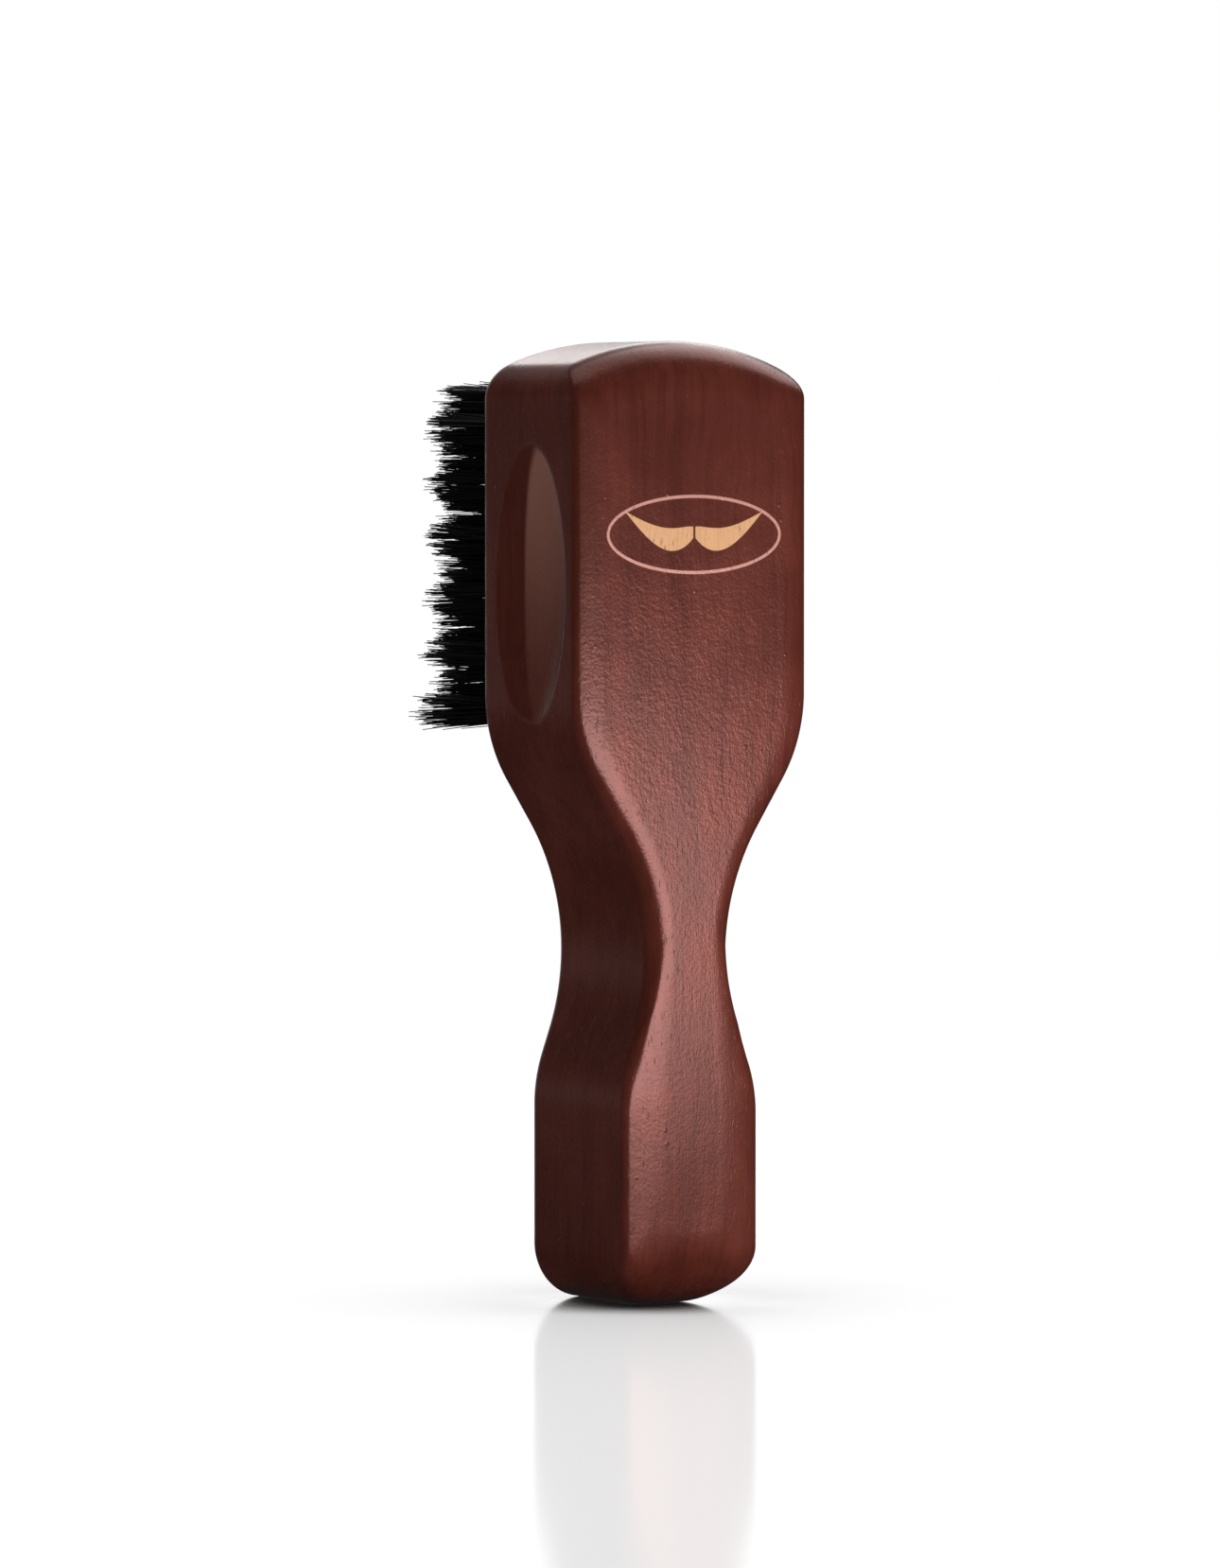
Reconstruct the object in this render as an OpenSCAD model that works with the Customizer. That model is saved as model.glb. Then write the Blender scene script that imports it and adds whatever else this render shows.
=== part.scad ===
// Beard brush: a one-piece hardwood body shaped like a small club, with short dark
// bristle tufts folded into blind holes and held there by flat wire anchors.
//
// Frame: the butt end stands on Z = 0 and +Z runs up the brush. The marked face looks
// along -Y, the bristles along +Y, and the finger scoops are on the -X and +X sides.

/* [Body lengths] */
// Height where the handle's sides start to draw in
handle_len = 27.5; // [24:0.5:33]
// From there up to the narrowest point of the waist
lower_neck_len = 22; // [19:0.5:27]
// From the waist up to where the head has its full width
upper_neck_len = 36; // [31:0.5:43]
// From there up to the top of the crown
head_len = 49.5; // [41:0.5:60]

/* [Body widths] */
// Width of the head
head_w = 38.7; // [33:0.1:46.5]
// Width of the waist
waist_w = 13.4; // [11.6:0.2:16]
// Width of the handle
handle_w = 22.4; // [20:0.2:26.8]
// Thickness from the marked face to the bristle face
body_t = 25.4; // [21.2:0.2:30.4]

/* [Outline arcs] */
// Corner radius of the butt end
butt_corner_r = 8; // [6.8:0.1:9]
// Convex arc at the top of the handle
hip_r = 21.5; // [18:0.5:25.5]
// Hollow arc of the waist
waist_r = 33; // [28:0.5:39]
// Convex arc at the foot of the head
shoulder_r = 22.5; // [19:0.5:27]
// Corner radius of the crown
crown_corner_r = 5.2; // [4.4:0.2:6.2]
// Arc across the top of the crown
crown_r = 44; // [37:1:60]

/* [Margins of the marked face] */
// From the side of the head in to where the face starts to fall away
head_margin = 4.4; // [3.6:0.1:5.2]
// The same along the waist
waist_margin = 3.6; // [3:0.1:4]
// The same along the handle
handle_margin = 6.5; // [5.4:0.1:7.4]
// The same below the top of the crown
crown_margin = 7.2; // [6:0.1:8.4]
// The same above the butt end
butt_margin = 10.6; // [8.8:0.1:11]
// Edge radius along the head and the handle
side_edge_r = 1.2; // [1:0.1:1.6]
// Edge radius along the waist
waist_edge_r = 3.2; // [2.6:0.1:3.4]
// Edge radius over the crown
crown_edge_r = 5.8; // [4.8:0.1:6.2]
// Edge radius under the butt end
butt_edge_r = 9.4; // [7.8:0.1:9.6]
// How steeply the margin of the head meets the edge, in degrees
head_slope = 15; // [10:1:18]
// The same along the waist, the crown and the butt end
other_slope = 9; // [6:1:12]

/* [Margins of the bristle face] */
// From the sides in to where the face starts to fall away
back_margin = 2.4; // [2:0.1:2.8]
// The same below the top of the crown
back_crown_margin = 4; // [3.2:0.1:4.6]
// The same above the butt end
back_butt_margin = 2; // [1.6:0.1:3]
// How much smaller than its margin each edge radius is
back_ease = 0.4; // [0.2:0.1:0.6]
// How steeply the margins meet the edge, in degrees
back_slope = 6; // [4:1:9]

/* [Finger scoops] */
// Length of each scoop along the head
scoop_len = 40; // [33:1:48]
// Width of each scoop across the side
scoop_w = 17.6; // [14.6:0.2:18.2]
// Depth of each scoop at its middle
scoop_depth = 2.5; // [2:0.1:3]
// From the top of the crown down to the middle of the scoop
scoop_below_crown = 34.3; // [28:0.1:36]
// How far the middle of the scoop lies towards the marked face
scoop_shift = 0.7; // [0:0.1:0.9]

/* [Bristles] */
// Diameter of the tuft holes
hole_d = 3; // [2.5:0.1:3.4]
// Depth of the tuft holes, without their drill points
hole_depth = 8; // [6.5:0.5:10]
// Spacing of the tufts along a row
tuft_pitch = 4.3; // [4:0.1:5.2]
// Least flat wood between a hole and the margin
edge_land = 0.1; // [0:0.1:0.5]
// From the top of the crown down to the first row
top_margin = 8.3; // [7:0.1:9.9]
// How far the last row lies below the foot of the head
row_overrun = 2.2; // [0:0.1:4]
// Length of bristle that stands out of the wood
bristle_len = 14.5; // [12:0.5:17]
// Diameter of a tuft at its tips
tip_d = 3.6; // [3.1:0.1:3.8]
// How far the outermost tufts lean outwards, in degrees
splay = 5; // [0:0.5:8]
// Gap between a tuft and the wall of its hole
tuft_clearance = 0.05; // [0.02:0.01:0.1]

/* [Wire anchors] */
// Thickness of the flat wire
anchor_t = 0.35; // [0.25:0.05:0.5]
// Width of the flat wire, which stands along the hole
anchor_w = 1.8; // [1.4:0.1:2.2]
// How far each end of the wire bites into the wood
anchor_bite = 0.25; // [0.15:0.05:0.4]
// Thickness of the bristle fold under the wire
fold_t = 0.9; // [0.7:0.1:1.2]

/* [Colours] */
// Stained and lacquered wood
wood_colour = "#5D2C23"; // [#5D2C23:Mahogany, #3B2015:Walnut, #B98A5A:Natural]
// Bristles
bristle_colour = "#121212"; // [#121212:Black, #5A3C22:Brown, #D8CFB8:White]
// Wire anchors
wire_colour = "#B8BABD"; // [#B8BABD:Steel, #B5924C:Brass]

/* [Hidden] */
waist_z = handle_len + lower_neck_len;
shoulder_z = waist_z + upper_neck_len;
crown_z = shoulder_z + head_len;
face_y = body_t / 2;

// Most that the radii of two opposed arcs can add up to, where the outline climbs by h and
// steps sideways by d, and the share of it that leaves a short straight between the arcs
function arc_room(h, d) = (h * h + d * d) / (2 * d);
room_share = 0.98;
// How far a short or a strongly waisted neck draws its three arcs in
neck_fit = min(
    1,
    room_share * arc_room(lower_neck_len, (handle_w - waist_w) / 2) / (hip_r + waist_r),
    room_share * arc_room(upper_neck_len, (head_w - waist_w) / 2) / (waist_r + shoulder_r)
);

// Sections of the edge round each face, each as [margin, edge radius, slope]
FRONT_HANDLE = [handle_margin, side_edge_r, other_slope];
FRONT_WAIST = [waist_margin, waist_edge_r, other_slope];
FRONT_HEAD = [head_margin, side_edge_r, head_slope];
FRONT_BUTT = [butt_margin, butt_edge_r, other_slope];
FRONT_CROWN = [crown_margin, crown_edge_r, other_slope];
BACK_SIDE = [back_margin, back_margin - back_ease, back_slope];
BACK_BUTT = [back_butt_margin, back_butt_margin - back_ease, back_slope];
BACK_CROWN = [back_crown_margin, back_crown_margin - back_ease, back_slope];
FRONT_SECTIONS = [FRONT_HANDLE, FRONT_WAIST, FRONT_HEAD, FRONT_BUTT, FRONT_CROWN];
BACK_SECTIONS = [BACK_SIDE, BACK_SIDE, BACK_SIDE, BACK_BUTT, BACK_CROWN];

// Corner radii of the two flat faces, inside their margins
front_butt_r = (handle_w / 2 - handle_margin) * 0.75;
back_butt_r = (handle_w / 2 - back_margin) * 0.75;
flat_crown_r = 4;

// Depth of the drill's point below a tuft hole
drill_point = hole_d / 4;
// Radius of a tuft in its hole, and how far it stands out before it starts to lean
root_r = hole_d / 2 - tuft_clearance;
root_proud = 0.6;
// How far the leaning part starts inside the straight one, and how much thinner it is there
lean_sink = 0.4;
lean_step = 0.15;

ROWS = 12;
row_pitch = (head_len - top_margin + row_overrun) / (ROWS - 1);
BRISTLE_ROWS = [for (k = [1 : ROWS]) str("bristle_row_", k < 10 ? "0" : "", k)];
ANCHOR_ROWS = [for (k = [1 : ROWS]) str("anchor_row_", k < 10 ? "0" : "", k)];

// Facets across a margin and its edge, and along each stretch of the outline
margin_steps = 2;
edge_steps = 5;
corner_steps = 8;
hip_steps = 5;
hollow_steps = 14;
shoulder_steps = 6;
crown_steps = 6;
$fn = 48;

// ---------------------------------------------------------------- the body's outline

// Lean of the straight line that joins two opposed arcs, whose radii add up to r, where
// the outline climbs by h and steps sideways by d
function lean(h, d, r) = atan2(h, r - d) - acos(r / norm([h, r - d]));

// Stations [x, z, end share] along an arc of n steps. The share says how far the edge
// there is shaped as an end is, and not as a side is, and it eases along the arc.
function arc(x, z, r, a0, a1, n, share_0 = 0, share_1 = 0, first = 0) =
    [for (i = [first : n])
        let(a = a0 + (a1 - a0) * i / n, ease = (1 - cos(180 * i / n)) / 2)
        [x + r * cos(a), z + r * sin(a), share_0 + (share_1 - share_0) * ease]];

// The +X half of an hourglass outline, from the flat of the butt end up to the middle of
// the crown, as arcs that meet at a tangent. Each size that ends in _in says how far
// that stretch lies inside the body's own outline, as the edge of a flat face does.
function outline(head_in, waist_in, handle_in, butt_in, crown_in, butt_r, corner_r) =
    let(
        head = head_w / 2 - head_in,
        waist = waist_w / 2 - waist_in,
        handle = handle_w / 2 - handle_in,
        hip = hip_r * neck_fit - handle_in,
        hollow = waist_r * neck_fit + waist_in,
        shoulder = shoulder_r * neck_fit - head_in,
        crown = crown_r - crown_in,
        crown_mid = crown_z - crown_in - crown,
        corner_x = head - corner_r,
        corner_z = crown_mid + sqrt(pow(crown - corner_r, 2) - pow(corner_x, 2)),
        corner_a = atan2(corner_z - crown_mid, corner_x),
        hip_a = lean(lower_neck_len, handle - waist, hip + hollow),
        shoulder_a = lean(upper_neck_len, head - waist, hollow + shoulder)
    )
    concat(
        arc(handle - butt_r, butt_in + butt_r, butt_r, -90, 0, corner_steps, share_0 = 1),
        arc(handle - hip, handle_len, hip, 0, hip_a, hip_steps),
        arc(waist + hollow, waist_z, hollow, 180 + hip_a, 180 - shoulder_a, hollow_steps),
        arc(head - shoulder, shoulder_z, shoulder, -shoulder_a, 0, shoulder_steps),
        arc(corner_x, corner_z, corner_r, 0, corner_a, corner_steps, share_1 = 1),
        arc(0, crown_mid, crown, corner_a, 90, crown_steps, 1, 1, first = 1)
    );

body_line = outline(0, 0, 0, 0, 0, butt_corner_r, crown_corner_r);
front_line = outline(
    head_margin, waist_margin, handle_margin, butt_margin, crown_margin,
    front_butt_r, flat_crown_r
);
back_line = outline(
    back_margin, back_margin, back_margin, back_butt_margin, back_crown_margin,
    back_butt_r, flat_crown_r
);

// Section of the edge at a station of the body's outline
function section(at, sections) =
    let(end = sections[at[1] > waist_z ? 4 : 3])
    [for (q = [0 : 2])
        let(side = lookup(at[1], [
            [handle_len, sections[0][q]],
            [waist_z, sections[1][q]],
            [shoulder_z, sections[2][q]]
        ]))
        side + (end[q] - side) * at[2]];

// A point of a section, as [share of the way out from the face's edge, depth below the
// face]. The margin, where t runs from 0 to 1, bends down evenly to its slope. The rounded
// edge, where t runs from 1 to 2, takes over at that slope and ends square to the face.
function across(shape, t) =
    let(
        margin = shape[0],
        r = shape[1],
        slope = shape[2],
        run = margin - r * (1 - sin(slope)),
        fall = run * tan(slope) / 2,
        a = slope + (90 - slope) * (t - 1)
    )
    t <= 1
        ? [t * run / margin, t * t * fall]
        : [1 - r * (1 - sin(a)) / margin, fall + r * (cos(slope) - cos(a))];

// One loop round the body, on the margin and edge that join a flat face to the sides. It
// runs along the face's edge where t is 0 and along the body's outline where t is 2. The
// face is on the side of the body that the sign of side gives.
function edge_loop(face_line, side, sections, t) =
    let(
        half = [for (i = [0 : len(body_line) - 1])
            let(
                edge = face_line[i],
                at = body_line[i],
                point = across(section(at, sections), t)
            )
            [
                edge[0] + (at[0] - edge[0]) * point[0],
                side * (face_y - point[1]),
                edge[1] + (at[1] - edge[1]) * point[0]
            ]]
    )
    concat(half, [for (i = [len(half) - 2 : -1 : 0]) [-half[i].x, half[i].y, half[i].z]]);

// ---------------------------------------------------------------- the bristle field

function row_z(k) = crown_z - top_margin - k * row_pitch;

// Half width of the flat bristle face at height z
function flat_reach(z) = lookup(z, [for (at = back_line) [at[1], at[0]]]);

// How far from the middle of row k a hole can be and still lie wholly on the flat face
function row_reach(k) =
    let(need = hole_d / 2 + edge_land, z = row_z(k))
    min(flat_reach(z) - need, flat_reach(z + need), flat_reach(z - need));

// Places of the tufts along row k. Every second row is shifted by half a pitch.
function tuft_places(k) =
    let(most = ceil(head_w / tuft_pitch))
    [for (i = [-most : most])
        let(x = (i + (k % 2) / 2) * tuft_pitch)
        if (abs(x) <= row_reach(k)) x];

// Puts its child, drawn at the origin with +Z out of the wood, at each hole of row k.
// $along runs from -1 to 1 across the head, and $up from -1 to 1 up the bristle field.
module at_tufts(k) {
    for (x = tuft_places(k)) {
        $along = x / (head_w / 2);
        $up = 1 - 2 * k / (ROWS - 1);
        translate([x, face_y, row_z(k)])
            rotate([-90, 0, 0])
                children();
    }
}

module tuft_hole() {
    rotate_extrude()
        polygon([
            [0, -hole_depth - drill_point],
            [hole_d / 2, -hole_depth],
            [hole_d / 2, 1],
            [0, 1]
        ]);
}

module anchor() {
    translate([0, 0, fold_t - hole_depth + anchor_w / 2])
        cube([hole_d + 2 * anchor_bite, anchor_t, anchor_w], center = true);
}

// A bundle of bristles folded in half under its anchor. Out of the wood it leans
// outwards and spreads towards its tips.
module tuft() {
    lean_len = bristle_len - root_proud + lean_sink;
    difference() {
        union() {
            translate([0, 0, -hole_depth])
                cylinder(h = hole_depth + root_proud, r = root_r);
            translate([0, 0, root_proud])
                rotate([splay / 2 * $up, splay * $along, 0])
                    translate([0, 0, -lean_sink])
                        cylinder(h = lean_len, r1 = root_r - lean_step, r2 = tip_d / 2);
        }
        anchor();
    }
}

// ---------------------------------------------------------------- the wood

// The shaped wood before it is scooped and drilled: loops from the front face, round the
// sides and on to the back face, with each face closed by strips between its two halves
module shaped_block() {
    steps = concat(
        [for (i = [0 : margin_steps]) i / margin_steps],
        [for (i = [1 : edge_steps]) 1 + i / edge_steps]
    );
    front = [for (t = steps) edge_loop(front_line, -1, FRONT_SECTIONS, t)];
    back = [for (i = [len(steps) - 1 : -1 : 0])
        edge_loop(back_line, 1, BACK_SECTIONS, steps[i])];
    loops = concat(front, back);
    n = len(loops[0]);
    top = len(body_line) - 1;
    last = (len(loops) - 1) * n;
    sides = [for (k = [0 : len(loops) - 2], i = [0 : n - 1])
        let(a = k * n + i, b = k * n + (i + 1) % n)
        each [[a, b, b + n], [a, b + n, a + n]]];
    strips = [for (i = [0 : top - 2])
        let(left = n - 1 - i)
        each [
            [left, left - 1, i + 1, i],
            [last + i, last + i + 1, last + left - 1, last + left]
        ]];
    crown = [[top + 1, top, top - 1], [last + top - 1, last + top, last + top + 1]];
    polyhedron([for (l = loops) each l], concat(sides, strips, crown));
}

// A hollow for a thumb or a finger, as deep as a long spindle turned beside the head
// would cut it
module scoop() {
    spindle_r = (pow(scoop_w / 2, 2) + pow(scoop_depth, 2)) / (2 * scoop_depth);
    profile_r = (pow(scoop_len / 2, 2) + pow(scoop_depth, 2)) / (2 * scoop_depth);
    translate([head_w / 2 + spindle_r - scoop_depth, -scoop_shift, crown_z - scoop_below_crown])
        rotate_extrude($fn = 96)
            intersection() {
                translate([spindle_r - profile_r, 0])
                    circle(profile_r, $fn = 240);
                translate([0, -scoop_len])
                    square([2 * spindle_r, 2 * scoop_len]);
            }
}

// ---------------------------------------------------------------- sub-parts

module wood_body() {
    color(wood_colour)
        difference() {
            shaped_block();
            scoop();
            mirror([1, 0, 0])
                scoop();
            for (k = [0 : ROWS - 1]) {
                at_tufts(k)
                    tuft_hole();
                at_tufts(k)
                    anchor();
            }
        }
}

module bristle_row(k) {
    color(bristle_colour)
        at_tufts(k)
            tuft();
}

module anchor_row(k) {
    color(wire_colour)
        at_tufts(k)
            anchor();
}

wood_body();
for (k = [0 : ROWS - 1]) {
    bristle_row(k);
    anchor_row(k);
}
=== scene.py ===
"""Beard brush: a one-piece stained and lacquered hardwood body with black bristle tufts.

Everything is in metres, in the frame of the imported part: the butt end stands on Z = 0,
+Z runs up the brush, the marked face looks along -Y and the bristles along +Y.
"""

import math

import bmesh
import bpy
from bpy.props import FloatProperty, FloatVectorProperty, IntProperty, PointerProperty
from bpy.types import Operator, Panel, PropertyGroup
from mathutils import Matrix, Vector
from mathutils.geometry import delaunay_2d_cdt


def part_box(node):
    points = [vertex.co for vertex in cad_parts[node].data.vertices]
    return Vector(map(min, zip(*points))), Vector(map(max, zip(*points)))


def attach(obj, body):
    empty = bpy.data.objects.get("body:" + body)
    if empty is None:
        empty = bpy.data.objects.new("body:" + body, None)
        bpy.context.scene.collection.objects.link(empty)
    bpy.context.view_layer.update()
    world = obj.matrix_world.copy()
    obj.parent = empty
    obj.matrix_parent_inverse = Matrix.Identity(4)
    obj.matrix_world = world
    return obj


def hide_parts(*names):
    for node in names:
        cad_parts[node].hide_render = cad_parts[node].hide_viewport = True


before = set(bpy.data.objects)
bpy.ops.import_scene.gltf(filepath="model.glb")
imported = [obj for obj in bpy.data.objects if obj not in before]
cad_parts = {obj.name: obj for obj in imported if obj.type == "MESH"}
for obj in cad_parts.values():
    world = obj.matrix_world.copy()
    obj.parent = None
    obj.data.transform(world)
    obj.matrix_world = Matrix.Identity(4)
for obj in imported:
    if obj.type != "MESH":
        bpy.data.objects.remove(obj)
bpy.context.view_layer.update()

bl_info = {
    "name": "Beard brush",
    "version": (1, 0, 0),
    "blender": (4, 5, 0),
    "location": "3D View > Sidebar > Brush",
    "description": "Builds a wooden beard brush and its studio around the packed part",
    "category": "Add Mesh",
}

MM = 0.001
BODY = "root"
ROWS = 12


def length(name, description, millimetres):
    return FloatProperty(
        name=name,
        description=description,
        default=millimetres * MM,
        unit="LENGTH",
        subtype="DISTANCE",
        precision=5,
    )


def share(name, description, default):
    return FloatProperty(
        name=name, description=description, default=default, min=0, max=1, subtype="FACTOR"
    )


def turn(name, description, degrees):
    return FloatProperty(
        name=name,
        description=description,
        default=math.radians(degrees),
        unit="ROTATION",
        subtype="ANGLE",
    )


def colour(name, description, red, green, blue):
    """A colour given as the 0 to 255 values of a paint chart."""

    def linear(value):
        value /= 255
        return value / 12.92 if value <= 0.04045 else ((value + 0.055) / 1.055) ** 2.4

    return FloatVectorProperty(
        name=name,
        description=description,
        default=(linear(red), linear(green), linear(blue)),
        size=3,
        min=0,
        max=1,
        subtype="COLOR",
    )


# ------------------------------------------------------------------ sizes and colours


class BrushBodySizes(PropertyGroup):
    handle_len: length("Handle length", "Height where the handle draws in", 27.5)
    lower_neck_len: length("Lower neck length", "From there up to the waist", 22)
    upper_neck_len: length("Upper neck length", "From the waist up to the head", 36)
    head_len: length("Head length", "From there up to the top of the crown", 49.5)
    head_w: length("Head width", "Width of the head", 38.7)
    waist_w: length("Waist width", "Width at the narrowest point", 13.4)
    handle_w: length("Handle width", "Width of the handle", 22.4)
    body_t: length("Thickness", "From the marked face to the bristle face", 25.4)
    butt_corner_r: length("Butt corner", "Corner radius of the butt end", 8)
    hip_r: length("Hip arc", "Convex arc at the top of the handle", 21.5)
    waist_r: length("Waist arc", "Hollow arc of the waist", 33)
    shoulder_r: length("Shoulder arc", "Convex arc at the foot of the head", 22.5)
    crown_corner_r: length("Crown corner", "Corner radius of the crown", 5.2)
    crown_r: length("Crown arc", "Arc across the top of the crown", 44)
    head_margin: length("Head margin", "Sloping border of the marked face", 4.4)
    waist_margin: length("Waist margin", "The same along the waist", 3.6)
    handle_margin: length("Handle margin", "The same along the handle", 6.5)
    crown_margin: length("Crown margin", "The same below the crown", 7.2)
    butt_margin: length("Butt margin", "The same above the butt end", 10.6)
    side_edge_r: length("Side edge", "Edge radius along head and handle", 1.2)
    waist_edge_r: length("Waist edge", "Edge radius along the waist", 3.2)
    crown_edge_r: length("Crown edge", "Edge radius over the crown", 5.8)
    butt_edge_r: length("Butt edge", "Edge radius under the butt end", 9.4)
    head_slope: turn("Head slope", "Slope of the head's margin at its edge", 15)
    other_slope: turn("Other slope", "The same at the waist, crown and butt", 9)
    back_margin: length("Back margin", "Border of the bristle face", 2.4)
    back_crown_margin: length("Back crown margin", "The same below the crown", 4)
    back_butt_margin: length("Back butt margin", "The same above the butt end", 2)
    back_ease: length("Back ease", "How much smaller each edge radius is", 0.4)
    back_slope: turn("Back slope", "Slope of the bristle side's margins", 6)
    flat_crown_r: length("Flat crown corner", "Corner radius of the flat faces", 4)
    scoop_len: length("Scoop length", "Length of a finger scoop", 40)
    scoop_w: length("Scoop width", "Width of a finger scoop", 17.6)
    scoop_depth: length("Scoop depth", "Depth of a finger scoop at its middle", 2.5)
    scoop_below_crown: length("Scoop place", "Crown to the scoop's middle", 34.3)
    scoop_shift: length("Scoop shift", "Scoop's middle towards the marked face", 0.7)
    scoop_rim: length("Scoop rim", "How far the sanding softened the rim", 0.1)


class BrushBristleSizes(PropertyGroup):
    hole_d: length("Hole diameter", "Diameter of a tuft hole", 3)
    hole_depth: length("Hole depth", "Depth of a tuft hole", 8)
    tuft_pitch: length("Tuft pitch", "Spacing of the tufts along a row", 4.3)
    edge_land: length("Edge land", "Flat wood between a hole and the edge", 0.1)
    top_margin: length("Top margin", "Crown down to the first row", 8.3)
    row_overrun: length("Row overrun", "Last row below the foot of the head", 2.2)
    bristle_len: length("Bristle length", "Length that stands out of the wood", 14.5)
    root_d: length("Tuft root", "Width of a tuft in its hole", 2.75)
    wire_gap: length("Wire gap", "Room in a tuft for its wire anchor", 0.5)
    root_depth: length("Root depth", "How deep the bristles reach", 7.2)
    hair_d: length("Bristle diameter", "Diameter of one bristle at its root", 0.27)
    flare: length("Flare", "How far a tuft's outer bristles swell out of their hole", 0.8)
    flare_rise: length("Flare rise", "Height over which they swell", 2.2)
    curl: length("Curl", "How far a bristle bends aside at its tip", 0.22)
    splay: turn("Splay", "Lean of the outermost tufts", 5)
    spread: turn("Spread", "Lean of a tuft's outer bristles", 3.6)
    stray: turn("Stray", "Random lean of single bristles", 3)
    ragged: share("Ragged tips", "Random part of a bristle's length", 0.16)
    uneven: share("Uneven tufts", "Random part of a tuft's length", 0.08)
    long_end: share("Long end", "How much longer the last row's bristles are", 0.12)
    hairs: IntProperty(
        name="Bristles per tuft", description="Bristle ends in a tuft", default=230, min=1
    )
    seed: IntProperty(name="Seed", description="Seed of the random lengths", default=11)


class BrushFinish(PropertyGroup):
    # the darkest grain colour, which also paints the shade on the sides and edges
    dark_grain_and_edge_shade: colour("Dark grain and painted shade", "Darkest grain of the stained wood, also the painted shade on the sides and edges", 60, 21, 14)
    stain_mid: colour("Stain", "Main colour of the stained wood", 84, 34, 24)
    stain_light: colour("Light stain", "Lightest grain of the stained wood", 99, 44, 34)
    pore: colour("Pores", "Stain that settled in the pores", 44, 15, 10)
    # a lighter colour painted into the finger scoops, as light on their walls
    painted_scoop_light: colour("Painted scoop light", "Lighter colour painted into the finger scoops as light on their walls", 118, 74, 62)
    bare_wood: colour("Bare wood", "Natural wood inside the mark", 196, 148, 108)
    mark_line: colour("Mark outline", "Thin line round the mark", 206, 150, 138)
    bristle_root: colour("Bristle roots", "Bristle colour at the wood", 10, 9, 9)
    bristle_tip: colour("Bristle tips", "Bristle colour at the tips", 22, 20, 19)
    wire: colour("Wire", "Flat wire of the anchors", 184, 186, 189)
    grain: share("Grain", "Strength of the wood grain", 0.32)
    fibre_gloss: share("Fibre gloss", "Coloured gloss of the fibres under the lacquer", 0.3)
    lacquer_roughness: share("Lacquer roughness", "Roughness of the satin lacquer", 0.29)
    peel: length("Orange peel", "Height of the ripples in the lacquer", 0.075)


class BrushStudio(PropertyGroup):
    view_azimuth: turn("View azimuth", "Camera's turn about the brush", -33)
    view_elevation: turn("View elevation", "Camera's height angle", 2)
    view_distance: length("View distance", "Camera to the brush", 1200)
    view_height: length("View field", "Height of the field at the brush", 220.5)
    aim_height: length("Aim height", "Height that the framing refers to", 67.5)
    aim_left: length("Aim left", "Framing centre, left of the axis", 4.83)
    aim_up: length("Aim up", "Framing centre, above the aim height", 5.36)
    backdrop: share("Backdrop", "Brightness of the backdrop", 1)
    ambient: share("Ambient light", "Soft light from all round", 0.55)
    gloom: share("Reflected gloom", "What glossy surfaces see of the room", 0.03)
    floor_size: length("Floor size", "Side of the floor", 2400)
    melt_start: length("Melt start", "Behind the brush, where the floor starts to melt", 60)
    melt_end: length("Melt end", "Behind the brush, where the floor is pure white", 900)
    floor_white: share("Floor colour", "Whiteness of the floor", 0.95)
    floor_gloss: share("Floor gloss", "Strength of the floor's reflections", 0.27)
    contact_gloss: share("Contact gloss", "The same right by the butt end", 0.97)


# ------------------------------------------------------------------ node trees


class Link:
    """One output of a node. Arithmetic on links adds Math nodes to their tree."""

    def __init__(self, recipe, socket):
        self.recipe = recipe
        self.socket = socket

    def __neg__(self):
        return self * -1

    def __abs__(self):
        return self.recipe.math("ABSOLUTE", self)


def allow_arithmetic(sign, operation):
    """Lets a link stand on either side of an arithmetic sign."""

    def link_first(link, other):
        return link.recipe.math(operation, link, other)

    def link_last(link, other):
        return link.recipe.math(operation, other, link)

    setattr(Link, f"__{sign}__", link_first)
    setattr(Link, f"__r{sign}__", link_last)


allow_arithmetic("add", "ADD")
allow_arithmetic("sub", "SUBTRACT")
allow_arithmetic("mul", "MULTIPLY")
allow_arithmetic("truediv", "DIVIDE")
allow_arithmetic("pow", "POWER")


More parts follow.
